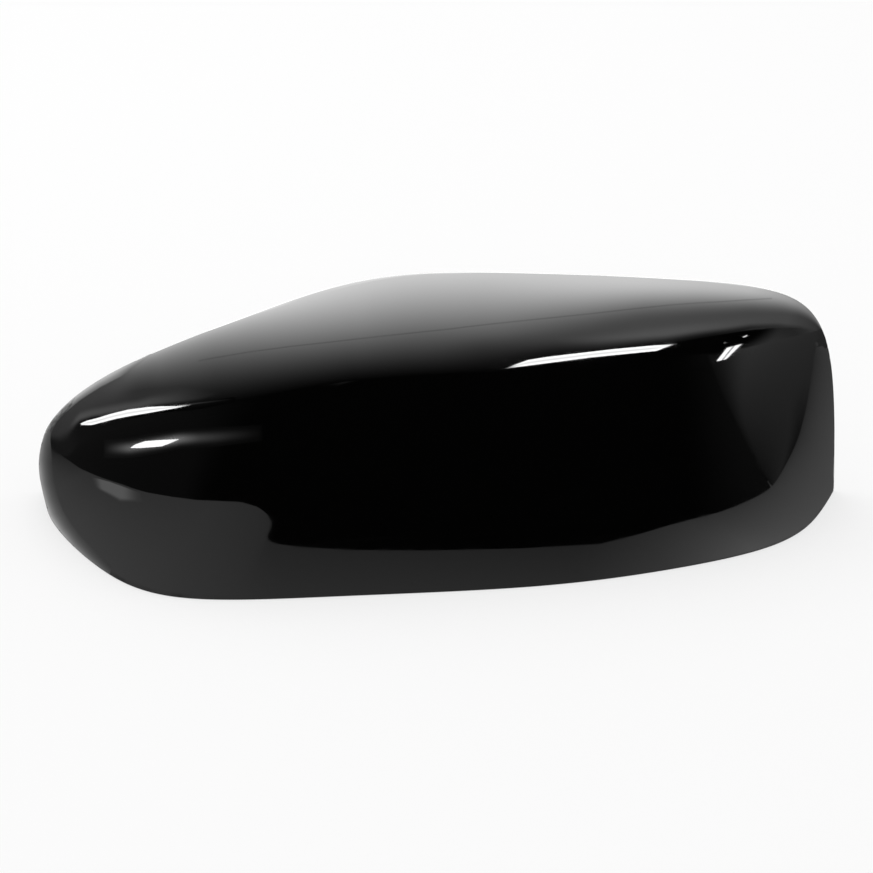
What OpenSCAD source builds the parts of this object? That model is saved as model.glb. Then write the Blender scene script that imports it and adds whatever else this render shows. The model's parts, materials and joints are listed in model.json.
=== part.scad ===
// Wing mirror cover: a one-piece gloss-black moulded cap for a door mirror.
// The skin is lofted over three rails: the lower rim, the rear rim and the shoulder between them.
// Both rims are flat: the lower one lies in Z = 0 and the rear one in Y = body_d / 2.
// The origin is in the plane of the lower rim, under the middle of the cap's box.
// +X runs along the cap from the nose to the blunt end, +Y runs back into the open side.

/* [Cap] */
// Length of the cap from the nose to the blunt end
body_l = 253; // [200:1:300]
// Depth from the front of the face to the rear rim
body_d = 77; // [62:1:96]
// Height of the cap above the lower rim
body_h = 75; // [60:1:95]
// Thickness of the moulded wall
wall = 2.5; // [1.8:0.1:3.2]
// Bevel on the outer edge of both rims
rim_bevel = 0.8; // [0.3:0.1:1.2]

/* [Shoulder] */
// How far the shoulder rail sits behind the lower rim
lean = 9.6; // [4:0.5:16]
// How far the shoulder rail sits below the rear rim
crown = 2; // [0:0.5:6]
// How far the shoulder rail is drawn towards the nose
sweep = 5.5; // [0:0.5:10]
// Share of a plain quarter ellipse in the section at the nose
round_nose = 0.15; // [0:0.05:0.8]
// Share of a plain quarter ellipse in the section at the blunt end
round_end = 0.7; // [0:0.05:0.8]
// Power of the tight superellipse that makes the rest of the section
tightness = 4; // [2.5:0.1:6]

/* [Rear lip] */
// Length of the thinned lip at the rear rim, over which the mirror housing nests
lip_len = 4; // [2:0.5:7]
// Thickness left at the lip
lip_t = 1.5; // [1:0.1:1.8]

/* [Stiffening rib] */
// Height of the rib that runs round inside the rear rim
rib_h = 3; // [1.5:0.5:5]
// Thickness of the rib
rib_t = 1.6; // [1:0.1:2.4]
// Distance from the rear rim to the rib
rib_set = 14; // [9:1:22]

/* [Upper hooks] */
// Distance between neighbouring upper hooks
upper_pitch = 46; // [36:1:54]
// Place of the middle upper hook along the cap
upper_mid = 26; // [16:1:34]

/* [Lower hooks] */
// Distance between neighbouring lower hooks
lower_pitch = 50; // [36:1:58]
// Place of the middle lower hook along the cap
lower_mid = -6; // [-14:1:4]
// Height of the lower hooks above the lower rim
lower_z = 12; // [9:0.5:16]

/* [Hook form] */
// Width of a hook
hook_w = 12; // [8:0.5:16]
// Thickness of a hook's tongue
hook_t = 2.2; // [1.6:0.1:3]
// Free length of a hook's tongue
hook_l = 18; // [14:0.5:22]
// Height of the barb at the end of a hook
barb_h = 2; // [1:0.1:3]
// Thickness of the gussets that brace a hook
gusset_t = 1.5; // [1:0.1:2.2]
// Gap between the skin and an upper hook's tongue
hook_gap = 5; // [4:0.5:8]

/* [Locating pegs] */
// Radius of a locating peg
peg_r = 2.5; // [2:0.1:3.5]
// Length of a locating peg beyond its boss
peg_l = 8; // [6:0.5:12]
// Radius of the boss under a peg
boss_r = 5.5; // [4.5:0.1:7]
// How far back the boss faces lie from the front of the cap
boss_y = 44; // [38:1:50]
// Height of the pegs above the lower rim
peg_z = 36; // [30:1:42]
// Distance between the two pegs
peg_span = 110; // [90:1:130]
// Radius of the flared foot where it joins the face
foot_r = 8; // [7.5:0.5:10]
// Length of the flared foot behind the highest point of the face under it
foot_l = 4; // [3:0.5:6]
// Step from the end of the foot in to the boss
collar = 0.8; // [0.5:0.1:1.2]
// Lead-in bevel at the tip of a peg
peg_bevel = 0.6; // [0.3:0.1:1]

/* [Hidden] */
body_black = "#17181a";

// Stations of the lower rim, as shares of the length and the depth
rim_plan = [[-0.494, 0.5], [-0.491, 0.235], [-0.409, -0.246], [-0.321, -0.535], [-0.120, -0.460],
    [0.118, -0.400], [0.271, -0.251], [0.402, -0.067], [0.464, 0.158], [0.500, 0.5]];
// Stations of the rear rim, as shares of the length and the height
rear_plan = [[-0.494, 0], [-0.511, 0.280], [-0.414, 0.555], [-0.247, 0.774], [-0.088, 0.988],
    [0.097, 0.982], [0.295, 0.954], [0.423, 0.921], [0.493, 0.752], [0.500, 0]];
last = len(rim_plan) - 1;
rear_y = body_d / 2;

lower_rail = [for (p = rim_plan) [p.x * body_l, p.y * body_d, 0]];
rear_rail = [for (p = rear_plan) [p.x * body_l, rear_y, p.y * body_h]];
// The shoulder rail follows both rims; beside each end it closes the corner as a parallelogram
shoulder_rail = [for (i = [0 : last])
    i == 0 || i == last ? lower_rail[i]
    : i == 1 ? lower_rail[1] + rear_rail[1] - lower_rail[0]
    : i == last - 1 ? lower_rail[i] + rear_rail[i] - lower_rail[last]
    : [(lower_rail[i].x + rear_rail[i].x) / 2 - sweep, lower_rail[i].y + lean, rear_rail[i].z - crown]];

along = 84;          // steps of the skin from the nose to the blunt end
across = 26;         // steps of the skin from the lower rim to the rear rim
cord_step = 0.001;   // step that gives a rail's direction

// Control point i of a rail, mirrored beyond either end so that the curve reaches its ends
function ctrl(rail, i) = i < 0 ? 2 * rail[0] - rail[1] : i > last ? 2 * rail[last] - rail[last - 1] : rail[i];
// Point of a rail at u = 0..1, a smooth cubic spline over its stations
function on_rail(rail, u) =
    let (t = min(max(u, 0), 1) * last, i = min(floor(t), last - 1), f = t - i)
    ((1 - f) ^ 3 * ctrl(rail, i - 1) + (3 * f ^ 3 - 6 * f ^ 2 + 4) * ctrl(rail, i)
        + (-3 * f ^ 3 + 3 * f ^ 2 + 3 * f + 1) * ctrl(rail, i + 1) + f ^ 3 * ctrl(rail, i + 2)) / 6;
function unit(v) = v / norm(v);
function run(rail, u) = unit(on_rail(rail, min(u + cord_step, 1)) - on_rail(rail, max(u - cord_step, 0)));
// Outward directions of the two rims, each in the plane of its rim
function lower_out(u) = let (d = run(lower_rail, u)) [d.y, -d.x, 0];
function rear_out(u) = let (d = run(rear_rail, u)) [-d.z, 0, d.x];

// Reach of a superellipse quadrant of power p along its two axes, at angle a
function quadrant(a, p) = let (r = (abs(cos(a)) ^ p + abs(sin(a)) ^ p) ^ (-1 / p)) [r * cos(a), r * sin(a)];
function section(u, v) =
    let (soft = round_nose + (round_end - round_nose) * u)
    soft * quadrant(90 * v, 2) + (1 - soft) * quadrant(90 * v, tightness);
// Point of the outer skin: u runs along the cap, v from the lower rim to the rear rim
function skin(u, v) =
    let (b = on_rail(lower_rail, u), k = on_rail(shoulder_rail, u), t = on_rail(rear_rail, u), s = section(u, v))
    b + t - k + s[0] * (k - t) + s[1] * (k - b);
// Direction out of the skin, in the plane of the rim at either edge
function outward(u, v) = let (s = section(u, v))
    unit(s[0] ^ (tightness - 1) * lower_out(u) + s[1] ^ (tightness - 1) * rear_out(u));
// Point at a depth below the outer skin
function under(u, v, depth) = skin(u, v) - depth * outward(u, v);

// Height and depth of the section, which shrinks to nothing at the two lower corners
function face_run(u) = norm(on_rail(shoulder_rail, u) - on_rail(lower_rail, u));
function roof_run(u) = norm(on_rail(shoulder_rail, u) - on_rail(rear_rail, u));
// A size that fades to no more than a share of the section near those corners
function fade(u, size, share) = min(size, share * roof_run(u), share * face_run(u));
// Share v at a distance inside the rear rim, or above the lower rim
function from_rear(u, dist) = 1 - atan(dist / roof_run(u)) / 90;
function from_lower(u, dist) = atan(dist / face_run(u)) / 90;

// One ring of the shell at u: out over the skin, round the rear rim, back inside, round the lower rim
function ring(u) =
    let (bevel = fade(u, rim_bevel, 0.05), low = from_lower(u, bevel), high = from_rear(u, bevel),
        lip = fade(u, lip_len, 0.15), set = fade(u, rib_set, 0.4), thick = fade(u, rib_t, 0.1),
        lip_v = from_rear(u, lip), rib_v1 = from_rear(u, set), rib_v0 = from_rear(u, set + thick),
        rise = fade(u, rib_h, 0.15), step = fade(u, wall - lip_t, 0.1))
    concat(
        [under(u, 0, bevel)],
        [for (j = [0 : across]) skin(u, low + (high - low) * j / across)],
        [under(u, 1, bevel), under(u, 1, wall - step), under(u, lip_v, wall - step), under(u, lip_v, wall),
            under(u, rib_v1, wall), under(u, rib_v1, wall + rise), under(u, rib_v0, wall + rise)],
        [for (j = [0 : across / 2]) under(u, rib_v0 * (1 - 2 * j / across), wall)]);

ring_n = len(ring(0.5));
outer_n = across + 3;    // how many points of a ring, from the first, lie on the outside
nose_end = [lower_rail[0], lower_rail[0] + [wall, 0, 0]];
blunt_end = [lower_rail[last], lower_rail[last] - [wall, 0, 0]];

// Faces between two neighbouring rings, whose points start at a and at b
function band(a, b) = [for (j = [0 : ring_n - 1]) let (k = (j + 1) % ring_n)
    each [[a + j, b + k, b + j], [a + j, a + k, b + k]]];
// At each lower rear corner a ring shrinks to a short edge, as long as the wall is thick
function side(j, at) = at + (j < outer_n ? 0 : 1);
function closure(at, ring_at, turn) = [for (j = [0 : ring_n - 1]) let (k = (j + 1) % ring_n)
    each [turn ? [side(j, at), ring_at + j, ring_at + k] : [side(j, at), ring_at + k, ring_at + j],
        if (side(j, at) != side(k, at))
            turn ? [side(j, at), ring_at + k, side(k, at)] : [side(j, at), side(k, at), ring_at + k]]];

module shell() {
    rings = [for (i = [1 : along - 1]) each ring(i / along)];
    tail = len(rings);
    polyhedron(
        points = concat(rings, nose_end, blunt_end),
        faces = concat(
            [for (i = [0 : along - 3]) each band(i * ring_n, (i + 1) * ring_n)],
            closure(tail, 0, false),
            closure(tail + 2, (along - 2) * ring_n, true)));
}

// Shares u and v of the point of a layer that lies at x and z on the face, or at x and y on the roof
function on_face(x, z, depth, u = 0.5, v = 0.3, rounds = 24) =
    rounds == 0 ? [u, v]
    : let (p = under(u, v, depth))
        on_face(x, z, depth, u + (x - p.x) / body_l * 0.8, max(v + (z - p.z) / body_h * 0.6, 0), rounds - 1);
function on_roof(x, y, depth, u = 0.5, v = 0.8, rounds = 24) =
    rounds == 0 ? [u, v]
    : let (p = under(u, v, depth))
        on_roof(x, y, depth, u + (x - p.x) / body_l * 0.8, min(v + (y - p.y) / body_d * 0.6, 1), rounds - 1);
// Points of the middle of the wall, where whatever stands on it is rooted
function face_root(x, z) = let (s = on_face(x, z, wall / 2)) under(s[0], s[1], wall / 2);
function roof_root(x, y) = let (s = on_roof(x, y, wall / 2)) under(s[0], s[1], wall / 2);

// Solid between two outlines with the same number of points; seen from the first, they run clockwise
module between(near, far) {
    n = len(near);
    polyhedron(
        points = concat(near, far),
        faces = concat(
            [[for (i = [0 : n - 1]) i]], [[for (i = [0 : n - 1]) 2 * n - 1 - i]],
            [for (i = [0 : n - 1]) let (k = (i + 1) % n) each [[i, n + i, n + k], [i, n + k, k]]]));
}

// Outline at x of what hangs from the roof: two roots at y0 and y1, then the free [y, z] points
function roof_outline(x, y0, y1, free) =
    [roof_root(x, y0), roof_root(x, y1), for (p = free) [x, p[0], p[1]]];
// Outline at x of what stands on the face: two roots at z0 and z1, then the free [y, z] points
function face_outline(x, z0, z1, free) =
    [face_root(x, z1), face_root(x, z0), for (p = free) [x, p[0], p[1]]];

// Free end of a tongue that runs back from y at height z: its side under the barb, the barb, the tip
function tongue_end(y, z, length, up) = let (s = up ? 1 : -1, nib = barb_h * 2) [
    [y + length, z], [y + length, z + s * hook_t / 2], [y + length - nib, z + s * (hook_t + barb_h)],
    [y + length - nib - barb_h / 4, z + s * hook_t]];

// Upper hook: a leg down from the roof, a tongue that runs back to the rim, and two gussets
module upper_hook(x) {
    back = rear_y - wall - hook_l;
    front = back - hook_t;
    top = min(roof_root(x - hook_w / 2, back).z, roof_root(x + hook_w / 2, back).z) - wall / 2 - hook_gap;
    free = concat([[back, top]], tongue_end(back, top, hook_l, false), [[front, top - hook_t]]);
    between(
        roof_outline(x + hook_w / 2, front, back, free),
        roof_outline(x - hook_w / 2, front, back, free));
    brace = [[(front + back) / 2, top - hook_t / 2], [front - hook_t / 2, top - hook_t / 2]];
    for (s = [-1, 1], g = x + s * (hook_w / 2 - gusset_t))
        between(
            roof_outline(g + gusset_t / 2, front - hook_gap, (front + back) / 2, brace),
            roof_outline(g - gusset_t / 2, front - hook_gap, (front + back) / 2, brace));
}

// Lower hook: a tongue that stands out from the foot of the face, and two gussets under it
module lower_hook(x) {
    root = max(face_root(x - hook_w / 2, lower_z).y, face_root(x + hook_w / 2, lower_z).y) + wall / 2;
    free = tongue_end(root, lower_z, hook_l, true);
    between(
        face_outline(x - hook_w / 2, lower_z, lower_z + hook_t, free),
        face_outline(x + hook_w / 2, lower_z, lower_z + hook_t, free));
    brace = [[root + hook_t, lower_z - hook_t / 2], [root + hook_gap, lower_z + hook_t / 2]];
    for (s = [-1, 1], g = x + s * (hook_w / 2 - gusset_t))
        between(
            face_outline(g - gusset_t / 2, lower_z - hook_gap, lower_z + hook_t / 2, brace),
            face_outline(g + gusset_t / 2, lower_z - hook_gap, lower_z + hook_t / 2, brace));
}

// How far back the foot of a boss ends, clear of the face all round
function foot_end(x) = foot_l + max([for (s = [-1, 1])
    max(face_root(x + s * foot_r, peg_z).y, face_root(x, peg_z + s * foot_r).y)]);

// Flared foot that joins a boss to the face and ends in a flat collar a step wider than the boss
module boss_foot(x) {
    sides = 20;
    around = [for (i = [0 : sides - 1]) [cos(360 * (i + 0.5) / sides), -sin(360 * (i + 0.5) / sides)]];
    between(
        [for (c = around) face_root(x + foot_r * c.x, peg_z + foot_r * c.y)],
        [for (c = around) [x + (boss_r + collar) * c.x, foot_end(x), peg_z + (boss_r + collar) * c.y]]);
}

// Locating peg: a round boss rooted in its foot, with a flat end, and the peg with a lead-in bevel
module locating_peg(x) {
    root = foot_end(x) - foot_l / 2;
    step = boss_y - rear_y - root;
    translate([x, root, peg_z]) rotate([-90, 0, 0])
        rotate_extrude($fn = 48) polygon([
            [0, 0], [boss_r, 0], [boss_r, step - peg_bevel], [boss_r - peg_bevel, step], [peg_r, step],
            [peg_r, step + peg_l - peg_bevel], [peg_r - peg_bevel, step + peg_l], [0, step + peg_l]]);
}

module mirror_cover() {
    color(body_black) {
        // The loft runs a little inside its rails, so it is brought out to the named sizes; each rim
        // stays in its plane
        translate([0, rear_y, 0]) resize([body_l, body_d, body_h]) translate([0, -rear_y, 0]) {
            shell();
            for (i = [-1 : 1]) upper_hook(upper_mid + i * upper_pitch);
            for (i = [-1 : 1]) lower_hook(lower_mid + i * lower_pitch);
            for (s = [-1, 1]) boss_foot(s * peg_span / 2);
        }
        for (s = [-1, 1]) locating_peg(s * peg_span / 2);
    }
}

mirror_cover();
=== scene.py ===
# %% [markdown]
# # A gloss black wing mirror cover
#
# The piece is one injection moulding in black ABS: a thin cap that snaps over the back of a car's
# door mirror. Outside, the mould is polished, and the plastic reflects like a lacquered piano.
# Inside, it is left as the tool made it: a soft satin with hooks, gussets, a rib and two pegs.
# Black gloss shows almost nothing of itself. What the eye reads is the studio round it, so this
# lesson spends as much care on the soft boxes and the dark flags as it does on the surface.

import json
import math
from functools import partial

import bmesh
import bpy
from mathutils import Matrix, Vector
from mathutils.bvhtree import BVHTree
from mathutils.interpolate import poly_3d_calc

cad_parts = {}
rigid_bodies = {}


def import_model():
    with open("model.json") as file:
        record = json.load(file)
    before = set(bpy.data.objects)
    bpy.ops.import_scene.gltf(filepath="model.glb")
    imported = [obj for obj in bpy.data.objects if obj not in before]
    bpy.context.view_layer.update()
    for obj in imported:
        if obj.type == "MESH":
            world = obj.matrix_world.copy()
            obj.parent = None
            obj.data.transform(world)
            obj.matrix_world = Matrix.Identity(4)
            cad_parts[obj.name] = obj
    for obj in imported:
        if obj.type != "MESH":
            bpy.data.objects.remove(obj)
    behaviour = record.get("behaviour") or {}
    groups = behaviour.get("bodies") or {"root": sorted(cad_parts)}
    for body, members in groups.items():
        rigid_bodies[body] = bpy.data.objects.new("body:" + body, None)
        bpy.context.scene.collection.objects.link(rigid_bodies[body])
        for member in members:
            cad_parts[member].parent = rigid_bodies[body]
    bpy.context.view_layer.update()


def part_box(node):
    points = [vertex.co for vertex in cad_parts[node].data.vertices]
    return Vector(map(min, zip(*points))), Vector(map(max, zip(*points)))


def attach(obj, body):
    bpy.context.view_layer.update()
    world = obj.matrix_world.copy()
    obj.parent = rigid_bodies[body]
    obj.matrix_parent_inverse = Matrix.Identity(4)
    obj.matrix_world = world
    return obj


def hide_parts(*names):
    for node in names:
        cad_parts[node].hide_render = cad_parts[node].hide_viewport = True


for leftover in list(bpy.data.objects):
    bpy.data.objects.remove(leftover)
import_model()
MM = 0.001
low_corner, high_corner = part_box("mirror_cover")
print("cap runs from", [round(c, 4) for c in low_corner], "to", [round(c, 4) for c in high_corner])

# %% [markdown]
# ## The form
#
# A designer would draw this skin over three rails: the flat lower rim, the flat rear rim, and a
# shoulder line that floats just outside the corner between them. Each cross-section is a mix
# of a plain quarter ellipse and a tight superellipse: the ellipse keeps the face gently crowned,
# and the superellipse pulls the shoulder up into a crisp highlight.

# %% Sizes and rails
BODY_L, BODY_D, BODY_H = 253 * MM, 77 * MM, 75 * MM
WALL = 2.5 * MM
RIM_ROUND = 0.8 * MM
# The shoulder rail stands back by LEAN, lower by CROWN and towards the nose by SWEEP
LEAN, CROWN, SWEEP = 9.6 * MM, 2 * MM, 5.5 * MM
# Share of the ellipse at the nose and at the blunt end, and the superellipse's power
ROUND_NOSE, ROUND_END, TIGHTNESS = 0.15, 0.7, 4.0
REAR_Y = BODY_D / 2

# Stations from the nose to the blunt end, as shares of the body: x and y, and then x and z
rim_plan = [(-0.494, 0.5), (-0.491, 0.235), (-0.409, -0.246), (-0.321, -0.535), (-0.120, -0.460),
            (0.118, -0.400), (0.271, -0.251), (0.402, -0.067), (0.464, 0.158), (0.500, 0.5)]
rear_plan = [(-0.494, 0), (-0.511, 0.280), (-0.414, 0.555), (-0.247, 0.774), (-0.088, 0.988),
             (0.097, 0.982), (0.295, 0.954), (0.423, 0.921), (0.493, 0.752), (0.500, 0)]
LAST = len(rim_plan) - 1
lower_rail = [Vector((x * BODY_L, y * BODY_D, 0)) for x, y in rim_plan]
rear_rail = [Vector((x * BODY_L, REAR_Y, z * BODY_H)) for x, z in rear_plan]
shoulder_rail = [Vector(((low.x + rear.x) / 2 - SWEEP, low.y + LEAN, rear.z - CROWN))
                 for low, rear in zip(lower_rail, rear_rail)]
for end, beside in ((0, 1), (LAST, LAST - 1)):
    shoulder_rail[end] = lower_rail[end].copy()
    shoulder_rail[beside] = lower_rail[beside] + rear_rail[beside] - lower_rail[end]


def on_rail(rail, u):
    """Point of a smooth cubic spline over a rail's stations, at u = 0..1."""
    stations = [2 * rail[0] - rail[1], *rail, 2 * rail[-1] - rail[-2]]
    t = min(max(u, 0.0), 1.0) * LAST
    i = min(int(t), LAST - 1)
    f = t - i
    weights = ((1 - f) ** 3, 3 * f ** 3 - 6 * f ** 2 + 4, -3 * f ** 3 + 3 * f ** 2 + 3 * f + 1, f ** 3)
    return sum((w * p for w, p in zip(weights, stations[i:i + 4])), Vector()) / 6


def heading(rail, u, step=0.001):
    """Unit direction of a rail at u."""
    return (on_rail(rail, min(u + step, 1)) - on_rail(rail, max(u - step, 0))).normalized()


def rim_directions(u):
    """Outward directions of the lower and rear rims at u, each in its rim's own plane."""
    low, rear = heading(lower_rail, u), heading(rear_rail, u)
    return Vector((low.y, -low.x, 0)), Vector((-rear.z, 0, rear.x))


print("rails from", [round(c, 3) for c in lower_rail[0]], "to", [round(c, 3) for c in lower_rail[-1]])

# %% [markdown]
# ## One closed ring
#
# The wall is drawn as a ring that runs out over the skin, round the rear rim, back inside past the
# thinned lip and the stiffening rib, and round the lower rim. A ring is only a list of pairs: how
# far across the section a point lies, and how deep under the skin. Laid side by side along the cap,
# the rings make a flat, rolled-up net, which the next cell bends into shape.

# %% Profile of the wall
COLUMNS, ROWS, INNER_ROWS = 380, 120, 44
LIP_LENGTH, LIP_THICKNESS = 4 * MM, 1.5 * MM
RIB_HEIGHT, RIB_THICKNESS, RIB_SET = 3 * MM, 1.6 * MM, 14 * MM
EDGE_STEPS = 5
FILLET = 0.5 * MM


def ring(u):
    """Pairs of across and depth for the wall's section at u, with its rounded edges."""
    lower, shoulder, rear = on_rail(lower_rail, u), on_rail(shoulder_rail, u), on_rail(rear_rail, u)
    face, roof = (shoulder - lower).length, (shoulder - rear).length

    def fade(size, share):
        """A size, or less where the section is short."""
        return min(size, share * roof, share * face)

    def from_rear(dist):
        return 1 - math.atan(dist / roof) / (math.pi / 2)

    def from_lower(dist):
        return math.atan(dist / face) / (math.pi / 2)

    # No edge, lip or rib is larger than its share of the section
    edge = fade(RIM_ROUND, 0.05)
    small = fade(FILLET, 0.03)
    lip, step = fade(LIP_LENGTH, 0.15), fade(WALL - LIP_THICKNESS, 0.1)
    rib0, rib1 = fade(RIB_SET, 0.4), fade(RIB_SET, 0.4) + fade(RIB_THICKNESS, 0.1)
    inner, crest = WALL - step, WALL + fade(RIB_HEIGHT, 0.15)

    def bend(dist, depth, *shifts, measured=from_rear):
        """Small fillet at a corner of the section, each shift a share of the fillet's size."""
        return [(measured(dist + small * a), depth + small * b) for a, b in shifts]

    turn = [math.pi / 2 * i / EDGE_STEPS for i in range(EDGE_STEPS + 1)]
    low, high = from_lower(edge), from_rear(edge)
    points = [(from_lower(edge * (1 - math.cos(a))), edge * (1 - math.sin(a))) for a in turn]
    points += [(low + (high - low) * j / ROWS, 0.0) for j in range(1, ROWS)]
    points += [(from_rear(edge * (1 - math.sin(a))), edge * (1 - math.cos(a))) for a in turn]
    points += bend(0, inner, (0, -0.6), (0.2, -0.2), (0.6, 0))
    points += bend(lip, inner, (-0.5, 0), (0, 0.3)) + bend(lip, WALL, (0.2, -0.3), (0.8, 0))
    points += bend(rib0, WALL, (-1, 0), (-0.3, 0.3), (0, 1)) + bend(rib0, crest, (0.1, -0.4), (0.5, 0))
    points += bend(rib1, crest, (-0.5, 0), (-0.1, -0.4)) + bend(rib1, WALL, (0, 1), (0.3, 0.3))
    start, stop = from_rear(rib1 + small), from_lower(small * 0.6)
    points += [(start + (stop - start) * j / INNER_ROWS, WALL) for j in range(INNER_ROWS + 1)]
    points += bend(0, WALL, (0.2, -0.2), (0, -0.6), measured=from_lower)
    return points


RING = len(ring(0.5))
OUTSIDE = ROWS + 2 * EDGE_STEPS + 1
# Rings crowd towards both ends, where the cap turns fastest, and stop just short of them
CROWDED, FIRST_ARC, FIRST_EVEN = 0.65, 0.012, 0.004
columns = []
for i in range(COLUMNS):
    share = i / (COLUMNS - 1)
    arc = 0.5 - 0.5 * math.cos(math.pi * (FIRST_ARC + (1 - 2 * FIRST_ARC) * share))
    columns.append(CROWDED * arc + (1 - CROWDED) * (FIRST_EVEN + (1 - 2 * FIRST_EVEN) * share))
print("one ring has", RING, "points and the net has", COLUMNS, "rings")


def mesh_from(name, points, faces=()):
    """New mesh of points and faces."""
    mesh = bpy.data.meshes.new(name)
    mesh.from_pydata(points, [], faces)
    return mesh


def placed(name, data):
    """New object at the origin for a mesh, a camera or a lamp."""
    thing = bpy.data.objects.new(name, data)
    bpy.context.scene.collection.objects.link(thing)
    return thing


def rail_points(name, rail, directions=None):
    """One point per ring on a rail, which the net reads its place from."""
    mesh = mesh_from(name, [on_rail(rail, u) for u in columns])
    if directions is not None:
        outward = mesh.attributes.new("outward", "FLOAT_VECTOR", "POINT")
        outward.data.foreach_set("vector", [c for d in directions for c in d])
    return placed(name, mesh)


sides = [rim_directions(u) for u in columns]
guides = {
    "Lower rail": rail_points("guide_lower", lower_rail, [s[0] for s in sides]),
    "Shoulder rail": rail_points("guide_shoulder", shoulder_rail),
    "Rear rail": rail_points("guide_rear", rear_rail, [s[1] for s in sides]),
}


def unrolled_net():
    """The rolled-up net: rings side by side, each point knowing its ring, its across and its depth."""
    rings = [ring(u) for u in columns]
    verts = [(i * MM, j * MM, 0) for i in range(COLUMNS) for j in range(RING)]
    faces = []
    for i in range(COLUMNS - 1):
        for j in range(RING):
            k = (j + 1) % RING
            faces.append((i * RING + j, (i + 1) * RING + j, (i + 1) * RING + k, i * RING + k))
    faces.append(tuple(range(RING)))
    faces.append(tuple(COLUMNS * RING - 1 - j for j in range(RING)))
    mesh = mesh_from("net", verts, faces)
    values = {
        "ring_index": [float(i) for i in range(COLUMNS) for _ in range(RING)],
        "along": [u for u in columns for _ in range(RING)],
        "across": [p[0] for r in rings for p in r],
        "depth": [p[1] for r in rings for p in r],
    }
    for name, numbers in values.items():
        mesh.attributes.new(name, "FLOAT", "POINT").data.foreach_set("value", numbers)
    inside = mesh.attributes.new("inside", "BOOLEAN", "FACE")
    flags = [p % RING >= OUTSIDE - 1 for p in range((COLUMNS - 1) * RING)] + [True, True]
    inside.data.foreach_set("value", flags)
    return placed("cap_shell_net", mesh)


# %% [markdown]
# ## Bending the net with Geometry Nodes
#
# The node tree is the loft's rule and nothing else. For each point it looks up its ring's place on
# the three rails, works out how far the section reaches along the face and along the roof, and sinks
# the point under the skin by its depth. Change a rail or the tightness and the whole cap follows.

# %% Node helpers


def node(tree, kind, settings=None, links=None):
    """Adds a node, sets its properties, and fills its inputs with values or links."""
    made = tree.nodes.new(kind)
    for key, value in (settings or {}).items():
        setattr(made, key, value)
    for key, value in (links or {}).items():
        socket = made.inputs[key]
        if isinstance(value, bpy.types.NodeSocket):
            tree.links.new(value, socket)
        else:
            socket.default_value = value
    return made


def scalar(tree, operation, a, b=0.0):
    return node(tree, "ShaderNodeMath", {"operation": operation}, {0: a, 1: b}).outputs[0]


def vector(tree, operation, a, b=None, scale=None):
    inputs = {0: a}
    if b is not None:
        inputs[1] = b
    made = node(tree, "ShaderNodeVectorMath", {"operation": operation}, inputs)
    if scale is not None:
        tree.links.new(scale, made.inputs["Scale"])
    return made.outputs[0]


def attribute(tree, name, kind="FLOAT"):
    return node(tree, "GeometryNodeInputNamedAttribute", {"data_type": kind}, {"Name": name}).outputs[0]


def tree_with(name, inputs):
    """Geometry node tree that takes a geometry and more inputs of a kind each, and those inputs."""
    tree = bpy.data.node_groups.new(name, "GeometryNodeTree")
    for label, kind in {"Geometry": "Geometry", **inputs}.items():
        tree.interface.new_socket(label, in_out="INPUT", socket_type="NodeSocket" + kind)
    tree.interface.new_socket("Geometry", in_out="OUTPUT", socket_type="NodeSocketGeometry")
    return tree, tree.nodes.new("NodeGroupInput").outputs


def object_mesh(tree, thing):
    """Geometry of an object that a tree is given."""
    return node(tree, "GeometryNodeObjectInfo", None, {"Object": thing}).outputs["Geometry"]


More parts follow.
